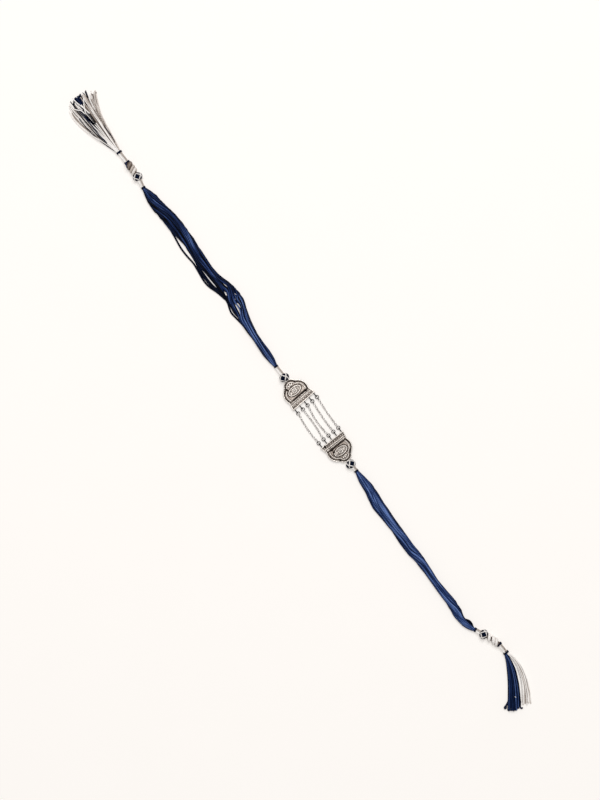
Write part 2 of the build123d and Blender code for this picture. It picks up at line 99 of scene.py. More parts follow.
# Kinds of nodes that come often, some with a setting of their own
maths, vectors, ramp = "ShaderNodeMath", "ShaderNodeVectorMath", "ShaderNodeMapRange"
lumps, occlusion, texture = "ShaderNodeTexNoise", "ShaderNodeAmbientOcclusion", "ShaderNodeTexCoord"
split, combine, bumps = "ShaderNodeSeparateXYZ", "ShaderNodeCombineXYZ", "ShaderNodeBump"
principled, output = "ShaderNodeBsdfPrincipled", "ShaderNodeOutputMaterial"
keep, read, move = "GeometryNodeStoreNamedAttribute", "GeometryNodeInputNamedAttribute", "GeometryNodeSetPosition"
plus, times, less, divided, size_of, larger, smaller, sine, cosine = (
    (maths, {"operation": name}) for name in (
        "ADD", "MULTIPLY", "SUBTRACT", "DIVIDE", "ABSOLUTE", "MAXIMUM", "MINIMUM", "SINE", "COSINE"))
scaled = (vectors, {"operation": "SCALE"})
mix = ("ShaderNodeMix", {"data_type": "RGBA"})


def linear(code):
    """A colour written as sRGB hex, in the linear values that a shader takes."""
    shares = [int(code[i:i + 2], 16) / 255 for i in (1, 3, 5)]
    return [c / 12.92 if c <= 0.04045 else ((c + 0.055) / 1.055) ** 2.4 for c in shares] + [1.0]


def add_node(tree, kind, *values, **settings):
    """Adds a node with its settings, which its kind may bring along. Its inputs are filled in order, or by
    name or number from a dict, with values or with other nodes' outputs."""
    if isinstance(kind, tuple):
        kind, settings = kind
    made = tree.nodes.new(kind)
    for name, value in settings.items():
        setattr(made, name, value)
    given = values[0] if values and isinstance(values[0], dict) else dict(enumerate(values))
    for key, value in given.items():
        if isinstance(value, bpy.types.Node):
            value = value.outputs[0]
        if isinstance(value, bpy.types.NodeSocket):
            tree.links.new(value, made.inputs[key])
        else:
            made.inputs[key].default_value = value
    return made


def placed(name, data):
    """A new object at the origin."""
    made = bpy.data.objects.new(name, data)
    bpy.context.scene.collection.objects.link(made)
    return made


def surface(name):
    """A new material, and what adds nodes to its empty tree."""
    made = bpy.data.materials.new(name)
    made.use_nodes = True
    made.node_tree.nodes.clear()
    return made, partial(add_node, made.node_tree)


def blackened_silver():
    """Cast sterling silver, blackened with sulphide and wiped. The eye sees pale, soft-edged high places,
    brown-black hollows, and a faint cloudiness between them."""
    made, add = surface("blackened_cast_silver")
    where = add(texture).outputs["Object"]
    spot = add(split, where).outputs
    clouds = add(lumps, {"Vector": where, "Scale": 1 / (1.1 * mm), "Detail": 3.0})
    grain = add(lumps, {"Vector": where, "Scale": 1 / (0.22 * mm), "Detail": 5.0})
    wiped = add(ramp, spot["Z"], 0.84 * mm, 1.36 * mm, 0.2, 1.0)
    reached = add(ramp, add(occlusion, {"Distance": 0.8 * mm}, samples=8).outputs["AO"], 0.36, 0.96)
    clean = add(times, add(maths, reached, 1.7, operation="POWER"), wiped)
    clean = add(plus, clean, add(ramp, clouds, 0.3, 0.7, -0.18, 0.18))
    # the border by each straight edge is worn, and the ears that carry the chains were never wiped; the
    # plates are turned a little, so their edges run aslant
    slope = add(ramp, spot["X"], -mm, mm, math.tan(plate_turns[0]), -math.tan(plate_turns[1]))
    from_middle = add(less, add(size_of, spot["X"]), add(times, spot["Y"], slope))
    wear = add(ramp, spot["X"], -mm, mm, 0.34, 0.2)
    clean = add(plus, clean, add(times, wear, add(ramp, from_middle, 11.9 * mm, 11.4 * mm)))
    clean = add(times, clean, add(ramp, from_middle, 9.3 * mm, 9.42 * mm))
    clean = add(smaller, add(larger, clean, 0.0), 1.0)
    # the slot beside the rails holds its black, and a few round spots are painted black
    slot = add(size_of, add(less, from_middle, slot_at))
    beyond = add(ramp, add(size_of, spot["Y"]), *slot_end)
    slot = add(larger, add(ramp, slot, *slot_edge, 0.1, 1.0), beyond)
    clean = add(times, clean, slot)
    flat = add(combine, spot["X"], spot["Y"])
    for x, y in black_pits:
        away = add(vectors, flat, (x * mm, y * mm, 0), operation="DISTANCE").outputs["Value"]
        clean = add(times, clean, add(ramp, away, *pit_edge))
    dull = add(mix, {0: add(ramp, clean, 0.0, 0.45), 6: linear("#0E0908"), 7: linear("#857970")})
    colour = add(mix, {0: add(ramp, clean, 0.4, 1.0), 6: dull.outputs[2], 7: linear("#D2CBC4")})
    add(output, add(principled, {
        "Base Color": colour.outputs[2], "Metallic": 1.0, "Roughness": add(ramp, grain, 0.3, 0.7, 0.26, 0.42),
        "Normal": add(bumps, {"Strength": 0.35, "Distance": 0.03 * mm, "Height": grain})}))
    return made


def silver_wire():
    """Drawn silver wire, soldered into links: cloudy pale grey, and blackened on the jump rings."""
    made, add = surface("drawn_silver_wire")
    where = add(texture).outputs["Object"]
    clouds = add(lumps, {"Vector": where, "Scale": 1 / (0.8 * mm), "Detail": 3.0})
    from_middle = add(size_of, add(split, where))
    pale = add(mix, {0: add(ramp, clouds, 0.35, 0.65), 6: linear("#A9A5A2"), 7: linear("#EFEDEB")})
    colour = add(mix, {0: add(ramp, from_middle, 6.2 * mm, 6.8 * mm), 6: pale.outputs[2], 7: linear("#332C29")})
    add(output, add(principled, {"Base Color": colour.outputs[2], "Metallic": 1.0, "Roughness": 0.34}))
    return made


def silk(name, shadow, body, light, sheen, gloss, painted_shade_reach, fibre=0.09 * mm, plies=3):
    """Reeled silk thread, plied and dyed. The eye sees a soft lustre along each thread, fine fibres and
    plies that run round it, and threads that differ from their neighbours; painted shade darkens the
    grooves between the plies and the gaps between the threads."""
    made, add = surface(name)
    tone, along, around, twist = (add("ShaderNodeAttribute", attribute_name=kept).outputs["Fac"]
                                  for kept in ("tone", "along", "around", "twist"))
    turn = add(times, around, math.tau)
    ply_turn = add(times, add(plus, around, twist), math.pi * plies)
    ply = add(size_of, add(sine, ply_turn))
    # the fibres are drawn coarser than silk's own, so that they show
    fibre_place = add(combine, add(times, along, 0.06 / fibre),
                      add(times, add(cosine, turn), 3.0),
                      add(plus, add(times, add(sine, turn), 3.0),
                          add(times, tone, 40.0)))
    fibres = add(lumps, {"Vector": fibre_place, "Scale": 1.0, "Detail": 2.0})
    shade = add(plus, tone, add(ramp, fibres, 0.3, 0.7, -0.12, 0.12))
    # painted shade in the grooves between the plies
    shade = add(plus, shade, add(ramp, ply, 0.0, 0.7, -0.22, 0.08))
    # painted shade between threads: a thread darkens where others close round it
    openness = add(occlusion, {"Distance": painted_shade_reach}, samples=8).outputs["AO"]
    shade = add(times, shade, add(ramp, openness, 0.25, 0.85))
    dark = add(mix, {0: add(ramp, shade, 0.0, 0.5), 6: linear(shadow), 7: linear(body)})
    colour = add(mix, {0: add(ramp, shade, 0.5, 1.0), 6: dark.outputs[2], 7: linear(light)})
    height = add(plus, add(times, fibres, 0.5), ply)
    add(output, add(principled, {
        "Base Color": colour.outputs[2], "Roughness": add(ramp, fibres, 0.3, 0.7, 0.36, 0.5),
        "Sheen Weight": sheen, "Sheen Roughness": 0.35, "Sheen Tint": linear(light),
        "Specular IOR Level": gloss,
        "Normal": add(bumps, {"Strength": 0.5, "Distance": 0.06 * mm, "Height": height})}))
    return made


def table_paper():
    """Warm white paper on a light table: lit from below as well, so that shadows on it stay faint."""
    made, add = surface("warm_white_paper")
    clouds = add(lumps, {"Vector": add(texture).outputs["Object"], "Scale": 1 / (30 * mm), "Detail": 3.0})
    colour = add(mix, {0: clouds, 6: linear("#C3C1BE"), 7: linear("#C5C3C0")})
    add(output, add(principled, {
        "Base Color": colour.outputs[2], "Roughness": 0.9, "Specular IOR Level": 0.1,
        "Emission Color": linear("#FFF9F4"), "Emission Strength": table_glow}))
    return made


def camera():
    """Straight down, with the bracelet on the picture's diagonal as in the photograph."""
    data = bpy.data.cameras.new("camera")
    data.lens = lens
    data.sensor_width = sensor
    made = placed("camera", data)
    made.location = picture_centre + Vector((0, 0, lens * picture_height / sensor))
    made.rotation_euler = (0, 0, picture_turn)
    bpy.context.scene.camera = made


def new_tree(name, inputs):
    """A geometry tree with a geometry in and out, the given inputs with their usual values and a material."""
    tree = bpy.data.node_groups.new(name, "GeometryNodeTree")
    kinds = {socket: type(value).__name__.title() for socket, value in inputs.items()}
    for socket, kind in {"Geometry": "Geometry", **kinds, "Material": "Material"}.items():
        item = tree.interface.new_socket(socket, in_out="INPUT", socket_type="NodeSocket" + kind)
        if socket in inputs:
            item.default_value = inputs[socket]
    tree.interface.new_socket("Geometry", in_out="OUTPUT", socket_type="NodeSocketGeometry")
    add = partial(add_node, tree)
    return tree, add, add("NodeGroupInput").outputs


def close_tree(add, given, geometry):
    """Ends a tree with plain, smooth geometry in the given material."""
    geometry = add("GeometryNodeSetShadeSmooth", geometry)
    geometry = add("GeometryNodeRealizeInstances", geometry)
    geometry = add("GeometryNodeSetMaterial", {"Geometry": geometry, "Material": given["Material"]})
    add("NodeGroupOutput", geometry)


def swept_thread(add, curves, radius, sides_round, pitch, phase, modelled=0.0, plies=3):
    """Thread along every curve, thicker or thinner as the size kept on its points says. Its twist is either
    modelled, by turning a lobed section, or left to the material."""
    length = add("GeometryNodeSplineParameter").outputs["Length"]
    curves = add(keep, curves, True, "along", length)
    turns = add(plus, add(divided, length, pitch), phase)
    twist = add(times, turns, add(less, 1.0, modelled))
    curves = add(keep, curves, True, "twist", twist)
    tilt = add(times, add(times, turns, modelled), math.tau)
    curves = add("GeometryNodeSetCurveTilt", {"Curve": curves, "Tilt": tilt})
    ring = add("GeometryNodeCurvePrimitiveCircle", {"Resolution": sides_round, "Radius": radius})
    share = add(divided, add("GeometryNodeInputIndex"), sides_round)
    lobe_turn = add(times, add(plus, share, 0.5 / plies), plies * math.tau)
    lobes = add(times, add(cosine, lobe_turn), add(times, modelled, ply_depth))
    lobed = add(scaled, {0: add("GeometryNodeInputPosition"), "Scale": add(plus, 1.0, lobes)})
    ring = add(move, ring, True, lobed)
    ring = add(keep, ring, True, "around", share)
    return add("GeometryNodeCurveToMesh",
               {"Curve": curves, "Profile Curve": ring, "Fill Caps": True, "Scale": add(read, "size")})


def plied_thread_tree():
    """Thread along guide lines that are given point by point."""
    tree, add, given = new_tree("plied_thread", {
        "Radius": strand, "Modelled": 1.0, "Ply Pitch": ply_pitch, "Sides": 12, "Step": step_along})
    curves = add("GeometryNodeMeshToCurve", given["Geometry"])
    curves = add("GeometryNodeCurveSplineType", curves, spline_type="CATMULL_ROM")
    curves = add("GeometryNodeResampleCurve", {"Curve": curves, "Length": given["Step"]}, mode="LENGTH")
    close_tree(add, given, swept_thread(add, curves, given["Radius"], given["Sides"], given["Ply Pitch"],
                                        add(read, "phase"), given["Modelled"]))
    return tree


def brush_tree():
    """Many loose threads along each guide line, spread over the lock's own width and thickness."""
    tree, add, given = new_tree("brush", {
        "Radius": white_thread, "Threads": 8, "Steps": 36, "Wander": 0.3 * mm, "Ragged": 0.05, "Dark": 0.0,
        "Light": 1.0, "Sides": 6, "Seed": 1})
    curves = add("GeometryNodeMeshToCurve", given["Geometry"])
    curves = add("GeometryNodeCurveSplineType", curves, spline_type="CATMULL_ROM")
    curves = add("GeometryNodeResampleCurve", {"Curve": curves, "Count": given["Steps"]}, mode="COUNT")
    curves = add("GeometryNodeDuplicateElements", {"Geometry": curves, "Amount": given["Threads"]},
                 domain="SPLINE")
    draws = ("turn", "reach", "shade", "cut")
    for offset, name in enumerate(draws):
        drawn = add("FunctionNodeRandomValue", {2: 0.0, 3: 1.0, "Seed": add(plus, given["Seed"], offset)},
                    data_type="FLOAT").outputs[1]
        curves = add(keep, curves, True, name, drawn, domain="CURVE")
    turn, reach, shade, cut = (add(read, name) for name in draws)
    end = add(less, 1.0, add(times, cut, given["Ragged"]))
    curves = add("GeometryNodeTrimCurve", {"Curve": curves, 3: end}, mode="FACTOR")
    curves = add("GeometryNodeSetCurveNormal", curves, mode="Z_UP")
    way = add("GeometryNodeSplineParameter").outputs
    across = add("GeometryNodeInputNormal")
    upward = add(vectors, add("GeometryNodeInputTangent"), across, operation="CROSS_PRODUCT")
    angle = add(times, turn, math.tau)
    spread = add(maths, reach, operation="SQRT")
    outward = add(times, add(cosine, angle), spread)
    raised = add(times, add(sine, angle), spread)
    aside = add(scaled, {0: across, "Scale": add(times, outward, add(read, "wide"))})
    above = add(scaled, {0: upward, "Scale": add(times, raised, add(read, "thick"))})
    wave_place = add(combine, add(times, way["Length"], 1 / (7 * mm)),
                     add(times, shade, 50.0), add(times, cut, 50.0))
    wave = add(lumps, {"Vector": wave_place, "Scale": 1.0, "Detail": 1.0}).outputs[1]
    wave = add(vectors, wave, (0.5, 0.5, 0.5), operation="SUBTRACT")
    size = add(times, given["Wander"], add(times, way["Factor"], 2.0))
    wave = add(scaled, {0: wave, "Scale": size})
    shift = add(vectors, add(vectors, aside, above), wave)
    curves = add(move, {"Geometry": curves, "Offset": shift})
    # no thread goes into the table
    spot = add(split, add("GeometryNodeInputPosition")).outputs
    lifted = add(combine, spot["X"], spot["Y"], add(larger, spot["Z"], given["Radius"]))
    curves = add(move, curves, True, lifted)
    # a tassel's outermost threads turn away from the light, so they are given painted shade
    outer_thread_painted_shade = add(larger, add(times, outward, add(read, "edge")), 0.0)
    tone = add(times, add(ramp, shade, 0.0, 1.0, given["Dark"], given["Light"]),
               add(less, 1.0, outer_thread_painted_shade))
    curves = add(keep, curves, True, "tone", tone)
    close_tree(add, given, swept_thread(add, curves, given["Radius"], given["Sides"], ply_pitch, cut))
    return tree


def winding_tree():
    """A thread wound round an axis, from x = 0 to its length, its turns crowded together above and below
    and fanned out at both sides, as a tight band lies on two cords."""
    tree, add, given = new_tree("winding", {
        "Core Radius": 0.8 * mm, "Length": 1.0 * mm, "Turns": 3.0, "Radius": winding_thread, "Fan": 0.3})
    spiral = add("GeometryNodeCurveSpiral", {
        "Resolution": 20, "Rotations": given["Turns"], "Start Radius": given["Core Radius"],
        "End Radius": given["Core Radius"], "Height": given["Length"]})
    spot = add(split, add("GeometryNodeInputPosition")).outputs
    side = add(size_of, add(divided, spot["X"], given["Core Radius"]))
    fanned = add(plus, add(less, 1.0, given["Fan"]), add(times, side, given["Fan"]))
    half = add(divided, given["Length"], 2.0)
    from_middle = add(times, add(less, spot["Z"], half), fanned)
    lain = add(combine, add(plus, from_middle, half), spot["X"], spot["Y"])
    curves = add(move, spiral, True, lain)
    for name, value in (("size", 1.0), ("tone", 0.05)):
        curves = add(keep, curves, True, name, value)
    close_tree(add, given, swept_thread(add, curves, given["Radius"], 8, ply_pitch, 0.0))
    return tree


golden_share = 0.618


def guide(lines, **columns):
    """A mesh of open lines for a tree to follow. Each line is a list of points, and each column gives, for
    each line, a value or a list of values for its points. A line's size is 1 unless it is given."""
    mesh = bpy.data.meshes.new("guide")
    points = [p for line in lines for p in line]
    edges = []
    first = 0
    for line in lines:
        edges += [(first + i, first + i + 1) for i in range(len(line) - 1)]
        first += len(line)
    mesh.from_pydata(points, edges, [])
    phases = [golden_share * i % 1 for i in range(len(lines))]
    for name, rows in {"size": [1.0] * len(lines), **columns, "phase": phases}.items():
        values = []
        for line, row in zip(lines, rows):
            values += list(row) if hasattr(row, "__len__") else [row] * len(line)
        mesh.attributes.new(name, "FLOAT", "POINT").data.foreach_set("value", values)
    return placed("guide", mesh)


def grown(name, tree, lines, values, place=Matrix(), **columns):
    """The plain mesh that a tree makes on its guide lines, as a piece at the origin."""
    source = guide(lines, **columns)
    modifier = source.modifiers.new("thread", "NODES")
    modifier.node_group = tree
    for item in tree.interface.items_tree:
        if item.in_out == "INPUT" and item.name in values:
            modifier[item.identifier] = values[item.name]
    source.data.update()
    graph = bpy.context.evaluated_depsgraph_get()
    mesh = bpy.data.meshes.new_from_object(source.evaluated_get(graph))
    source.modifiers.remove(modifier)
    bpy.data.objects.remove(source)
    mesh.transform(place)
    mesh.name = name
    return placed(name, mesh)


def finish_piece(piece, slot, *replaced):
    """Every piece is thread or metal of the one body that the bracelet is."""
    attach(piece, "root")
    if replaced:
        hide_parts(*replaced)


def dress(colour, name, node, tree, lines, values, **more):
    """A piece of silk thread, shown in the place of a CAD node."""
    piece = grown(name, tree, lines, {"Material": silks[colour], **values}, **more)
    finish_piece(piece, f"{colour}_silk", node)
    return piece


Seat = namedtuple("Seat", "start finish ahead across up")


def seat_along(start, finish, ahead):
    """The seat of what runs straight ahead from its start to its finish."""
    across = Vector((0, 0, 1)).cross(ahead).normalized()
    return Seat(start, finish, ahead, across, ahead.cross(across))


def seat(node):
    """Where a short round CAD piece lies: its ends on its axis, nearest the pendant first, and its way
    ahead, aside and up. It is shorter than it is wide, so its axis is the way of its least spread."""
    co = np.array([v.co for v in nodes[node].data.vertices], float)
    co = np.unique(co.round(7), axis=0)
    middle = (co.min(0) + co.max(0)) / 2
    ways = np.linalg.eigh(np.cov((co - co.mean(0)).T))[1]
    way = ways[:, 0] * np.sign(ways[0, 0] * middle[0])
    reach = (co - middle) @ way
    return seat_along(Vector(middle + way * reach.min()), Vector(middle + way * reach.max()), Vector(way))


def place_of(where):
    """The place of a piece made along +X from its near end."""
    rows = Matrix((where.ahead, where.across, where.up)).transposed().to_4x4()
    return Matrix.Translation(where.start) @ rows


def between(a, b):
    """The seat of what runs from the far end of one piece to the near end of the next."""
    return seat_along(a.finish, b.start, (b.start - a.finish).normalized())


# Sections of a tie, the same as the solid's. along is a share of its length, aside and width are shares
# of its width, and thick is a share of its thickness.
Section = namedtuple("Section", "along aside width thick")
left_sections = [Section(*row) for row in (
    (0, 0, 0.3, 0.8), (0.027, 0.01, 0.46, 0.94), (0.061, 0.02, 0.54, 0.92), (0.163, 0.04, 0.46, 1),
    (0.231, 0.13, 0.67, 0.86), (0.276, 0.26, 0.83, 0.8), (0.321, 0.4, 0.92, 0.88), (0.367, 0.44, 0.97, 0.92),
    (0.419, 0.32, 1, 0.84), (0.468, 0.1, 1, 0.72), (0.502, 0.01, 1, 0.7), (0.57, 0.05, 0.92, 0.72),
    (0.638, 0.21, 0.78, 0.8), (0.706, 0.24, 0.86, 0.76), (0.774, 0.18, 0.97, 0.7), (0.842, 0.13, 0.9, 0.74),
    (0.91, 0.01, 0.81, 0.8), (0.943, 0, 0.76, 0.84), (0.977, 0, 0.52, 0.88), (1, -0.02, 0.3, 0.8),
)]
right_sections = [Section(*row) for row in (
    (0, 0, 0.37, 0.8), (0.042, -0.04, 0.65, 0.94), (0.08, -0.04, 0.78, 0.94), (0.118, -0.07, 0.84, 0.88),
    (0.156, -0.15, 0.96, 0.8), (0.194, -0.21, 1, 0.78), (0.27, -0.2, 0.86, 0.86), (0.346, -0.22, 0.75, 0.94),
    (0.422, -0.2, 0.86, 0.86), (0.479, -0.26, 0.88, 0.86), (0.536, -0.17, 0.76, 0.92), (0.612, -0.14, 0.67, 0.96),
    (0.688, -0.22, 0.63, 1), (0.764, -0.2, 0.71, 0.94), (0.821, -0.14, 0.76, 0.9), (0.878, -0.23, 0.76, 0.9),
    (0.916, -0.31, 0.6, 0.94), (0.954, -0.27, 0.55, 0.94), (0.98, -0.13, 0.48, 0.88), (1, 0, 0.37, 0.8),
)]
bundle_thickness = 2.4 * mm
bundle_fall = 6.0 * mm

# Where strands part and show what lies below: the middle of the slit, and how far it reaches and opens
Parting = namedtuple("Parting", "x y reach opening")
left_partings = [Parting(*row) for row in (
    (-65.2, 2.3, 1.8, 0.5),
    (-63, 0.4, 2.8, 0.58),
    (-60.4, 3.5, 1.8, 0.44),
    (-57.4, 3.3, 1.4, 0.42),
    (-56.2, 1.8, 2.6, 0.52),
    (-54.8, 0.5, 2.8, 0.56),
)]
right_partings = [Parting(94.6, 0.5, 1, 0.24)]

# The lower edge of the strands that stay packed, where others lie apart below them, in millimetres
left_packed_edge = [(-99, -3), (-96, -2.5), (-93, -2), (-88, -1.5), (-84, -1.6), (-80, -2), (-77, -1.6),
                    (-72, -1.3), (-68, -1.2), (-65, -1.3), (-60, -0.9), (-57, -0.4), (-54, -0.7), (-50, -2)]
right_packed_edge = []

# Strands that leave the tie and come back to it, by points on the table in millimetres
left_departures = [
    [(-98, -1.9), (-93, -2.5), (-88, -3.15), (-84, -3.1), (-80, -2.75), (-76, -3.15), (-72, -3.55), (-69, -3.3),
     (-65, -2), (-62, -1.3)],
    [(-84, -1.3), (-80, -1.7), (-77, -2.3), (-74, -2.65), (-72, -2.7), (-68, -2.4), (-64, -1.2), (-61, -0.7)],
    [(-82, -1.1), (-78, -1.5), (-75, -1.95), (-71, -2), (-67, -1.6), (-64, -0.6), (-61, -0.2)],
    [(-61.5, -0.9), (-59, -1.2), (-57, -1.9), (-55, -2.35), (-52, -2), (-49, -1.6), (-46, -1.3)],
    [(-61, -0.4), (-58.5, -0.7), (-56.5, -1.1), (-54.5, -1.35), (-52, -1.1), (-49.5, -1)],
    [(-60, 0.2), (-57.5, -0.1), (-55, -0.55), (-52, -0.5), (-49, -0.6)],
]
right_departures = [
    [(97, -0.7), (98.6, -0.3), (99.8, 0.6), (100.8, 1.05), (102, 1.05), (103, 0.75), (104.5, 0.6)],
    [(96.5, -0.9), (98.6, -0.6), (100.2, 0.2), (101.5, 0.55), (103, 0.35), (104.5, 0.4)],
    [(96, -1.2), (98.6, -0.9), (100.5, -0.2), (102, 0.1), (103.5, 0.1), (104.8, 0.3)],
]

# How far the strands have rolled over the tie's edges, in turns, at shares of its length
left_rolls = [(0, 0), (0.25, 0.12), (0.33, 0.16), (0.42, 0.38), (0.6, 0.42), (0.8, 0.6), (1, 0.34)]
right_rolls = [(0, 0.12), (0.3, 0), (0.46, 0.08), (0.6, 0.26), (0.8, 0.3), (0.9, 0.46), (1, 0.56)]

# How light the dyed strands look, from 0, the deepest shade, to 1, at shares of the length
left_tones = [(0, 0.36), (0.34, 0.34), (0.42, 0.02), (0.54, 0.06), (0.72, 0.3), (1, 0.2)]
right_tones = [(0, 0.64), (0.6, 0.66), (1, 0.66)]


def shares(steps):
    """Even shares of a way, from 0 to 1."""
    return [i / steps for i in range(steps + 1)]


def eased(t):
    """A share with a slow start and end."""
    return t * t * (3 - 2 * t)


def smooth_steps(rows, share):
    """A smooth line through the rows of a two-column table, read at a share."""
    for (a, low), (b, high) in zip(rows, rows[1:]):
        if share <= b:
            return low + (high - low) * eased((share - a) / (b - a))
    return rows[-1][1]


def straight_steps(rows, place):
    """A value between two rows of a table of places and values, or nothing outside the table."""
    for (a, low), (b, high) in zip(rows, rows[1:]):
        if a <= place <= b:
            return low + (high - low) * (place - a) / (b - a)
    return None


def smooth_route(points):
    """The points of one smooth line, a spline with the given points as its control points."""
    data = bpy.data.curves.new("route", "CURVE")
    data.dimensions = "3D"
    spline = data.splines.new("NURBS")
    spline.points.add(len(points) - 1)
    for control, point in zip(spline.points, points):
        control.co = (*point, 1)
    spline.order_u = 3
    spline.use_endpoint_u = True
    spline.resolution_u = 10
    made = placed("route", data)
    graph = bpy.context.evaluated_depsgraph_get()
    mesh = bpy.data.meshes.new_from_object(made.evaluated_get(graph))
    found = [v.co.copy() for v in mesh.vertices]
    bpy.data.objects.remove(made)
    bpy.data.meshes.remove(mesh)
    return found


def wandering(seed, count, size, waves=1.5):
    """A smooth random line of count values, between -size and size, which repeats for its seed."""
    drawn = random.Random(seed)
    phases = [(drawn.uniform(0, math.tau), drawn.uniform(0.6, 1.4)) for _ in range(3)]
    line = []
    for t in shares(count - 1):
        line.append(size * sum(math.sin(math.tau * (k + 1) * waves * speed * t + phase) / (k + 1.5)
                               for k, (phase, speed) in enumerate(phases)))
    return line


# How a tie's strands lie: how they wander, gather near its ends, crowd and thin towards its edges, and the
# room that they keep at least
wander_aside, wander_above, wander_waves = 0.16 * mm, 0.12 * mm, 2.2
end_reach, end_size = 8 * mm, 0.62
edge_crowding = 0.3
layer_fullness, edge_thinning = 1.5, 0.25
least_room, least_headroom = 0.2 * mm, 0.1 * mm

# How their dye varies along them, and how much painted shade darkens them at the upper and the lower edge
dye_change, dye_waves = 0.2, 5
upper_painted_shade, lower_painted_shade = 0.95, 0.7


def make_tie(side, width, sections, packed_edge, partings, departures, rolls, tones,
             variety, count, seed):
    """A tie of loose silk strands, which run along one route from collar to collar."""
    sign = signs[side]
    low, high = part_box(f"bundle_{side}")
    start_x, end_x = (high.x, low.x) if sign < 0 else (low.x, high.x)
    length = abs(end_x - start_x)
    start_y = seat(f"collar_inner_{side}").finish.y
    controls = []
    for s in sections:
        half_thick = s.thick * bundle_thickness / 2
        from_end = min(s.along, 1 - s.along) * length
        rise = max(0, 1 - from_end / bundle_fall) * (collar_level - half_thick)
        controls.append(Vector((start_x + sign * s.along * length, start_y + s.aside * width, half_thick + rise)))
    path = smooth_route(controls)
    widths = [(s.along, s.width) for s in sections]
    thicks = [(s.along, s.thick) for s in sections]
    lines, shades, sizes = [], [], []
    for i in range(count):
        aside = wandering(seed + i, len(path), wander_aside, wander_waves)
        above = wandering(seed + 100 + i, len(path), wander_above)
        own = random.Random(seed + 200 + i).uniform(-variety, variety)
        dye = wandering(seed + 300 + i, len(path), dye_change, dye_waves)
        line, shade, size = [], [], []
        for k, point in enumerate(path):
            share = min(1, abs(point.x - start_x) / length)
            wide, thick = straight_steps(widths, share), straight_steps(thicks, share)
            p = (i + 0.25) / count + smooth_steps(rolls, share)
            p -= math.floor(p)
            lane = 1 - 4 * abs(p - 0.5)
            lane += edge_crowding * (math.sin(math.pi / 2 * lane) - lane)
            layer = min(1, max(-1, layer_fullness * math.sin(math.tau * p)))
            low_edge, high_edge = point.y - wide * width / 2, point.y + wide * width / 2
            edge = straight_steps(packed_edge, point.x / mm)
            if edge is not None:
                low_edge = max(low_edge, edge * mm)
            room = max(least_room, (high_edge - low_edge) / 2 - strand)
            headroom = max(least_headroom, thick * bundle_thickness / 2 - strand)
            near_end = min(1, min(share, 1 - share) * length / end_reach)
            y = (low_edge + high_edge) / 2 + lane * room + aside[k] * near_end
            z = point.z + layer * headroom * (1 - edge_thinning * lane * lane) + above[k] * near_end
            line.append(Vector((point.x, y, z)))
            # painted shade: strands darken towards the tie's edges, the upper edge most
            tie_edge_painted_shade = 1 - (upper_painted_shade if lane > 0 else lower_painted_shade) * abs(lane) ** 3
            shade.append((smooth_steps(tones, share) + own + dye[k]) * tie_edge_painted_shade)
            size.append(end_size + (1 - end_size) * near_end)
        lines.append(line)
        shades.append(shade)
        sizes.append(size)
    part(lines, partings)
    depart(lines, shades, sizes, departures)
    # both ends go on into the collars
    inner, outer = seat(f"collar_inner_{side}"), seat(f"collar_outer_{side}")
    for line, shade, size in zip(lines, shades, sizes):
        first = inner.finish - inner.ahead * collar_hold + (line[0] - path[0]) * collar_gather
        last = outer.start + outer.ahead * collar_hold + (line[-1] - path[-1]) * collar_gather
        line[:] = [first, *line, last]
        shade[:] = [shade[0], *shade, shade[-1]]
        size[:] = [collar_size, *size, collar_size]
    for line, size in zip(lines, sizes):
        for point, swell in zip(line, size):
            point.z = max(point.z, strand * swell + table_gap)
    piece = dress("navy", f"silk_tie_{side}", f"bundle_{side}", thread, lines, {"Modelled": 0.0, "Sides": 9},
                  size=sizes, tone=shades)
    length = sum((b - a).length for a, b in zip(path, path[1:]))


# A slit's push on the strands, in millimetres: how near its middle they change sides, and how far off they
# still feel it
slit_side, slit_pull = 0.1, 1.3


def part(lines, partings):
    """Pushes the strands apart at each slit, every one to the side on which it passes the slit's middle."""
    for parting in partings:
        for line in lines:
            nearest = min(line, key=lambda p: abs(p.x - parting.x * mm))
            away = nearest.y / mm - parting.y
            push = parting.opening * mm * math.tanh(away / slit_side) * math.exp(-abs(away) / slit_pull)
            for point in line:
                off = (point.x / mm - parting.x) / parting.reach
                point.y += push * math.exp(-off * off)


# Strands that leave the tie: the millimetres over which they do, the painted shade that darkens them, how
# much thicker they look, and how much a strand's height counts against choosing it
departure_ease = 5.0
stray_painted_shade = 0.0
stray_swell = 0.4
height_counts = 0.7


def depart(lines, shades, sizes, departures):
    """Lays chosen strands along their own points on the table, where they leave the tie. Alone against the
    pale table a strand looks dark, so it is given painted shade, and its plies loosen a little."""
    taken = set()
    for route in departures:
        first, last = route[0], route[-1]

        def misfit(i):
            total = 0
            for x, y in (first, last):
                nearest = min(lines[i], key=lambda p: abs(p.x - x * mm))
                total += abs(nearest.y / mm - y) + height_counts * nearest.z / mm
            return total

        chosen = min((i for i in range(len(lines)) if i not in taken), key=misfit)
        taken.add(chosen)
        low, high = min(first[0], last[0]), max(first[0], last[0])
        own = sorted(route)
        for k, point in enumerate(lines[chosen]):
            x = point.x / mm
            if low - departure_ease < x < high + departure_ease:
                weight = eased(min(1, min(x - low, high - x) / departure_ease + 1))
                target = curve_through(own, min(max(x, low), high)) * mm
                point.y += (target - point.y) * weight
                point.z += (strand - point.z) * weight
                # painted shade on the strand that leaves the tie
                shades[chosen][k] += (stray_painted_shade - shades[chosen][k]) * weight
                sizes[chosen][k] += stray_swell * weight


def curve_through(points, x):
    """A smooth curve through points in order of x, read at x."""
    for i in range(len(points) - 1):
        (x0, y0), (x1, y1) = points[i], points[i + 1]
        if x <= x1:
            before = points[max(0, i - 1)]
            after = points[min(len(points) - 1, i + 2)]
            slope0 = (y1 - before[1]) / (x1 - before[0])
            slope1 = (after[1] - y0) / (after[0] - x0)
            h = x1 - x0
            t = (x - x0) / h
            bend = t * (1 - t) * h * ((1 - t) * slope0 - t * slope1)
            return y0 + (y1 - y0) * eased(t) + bend
    return points[-1][1]


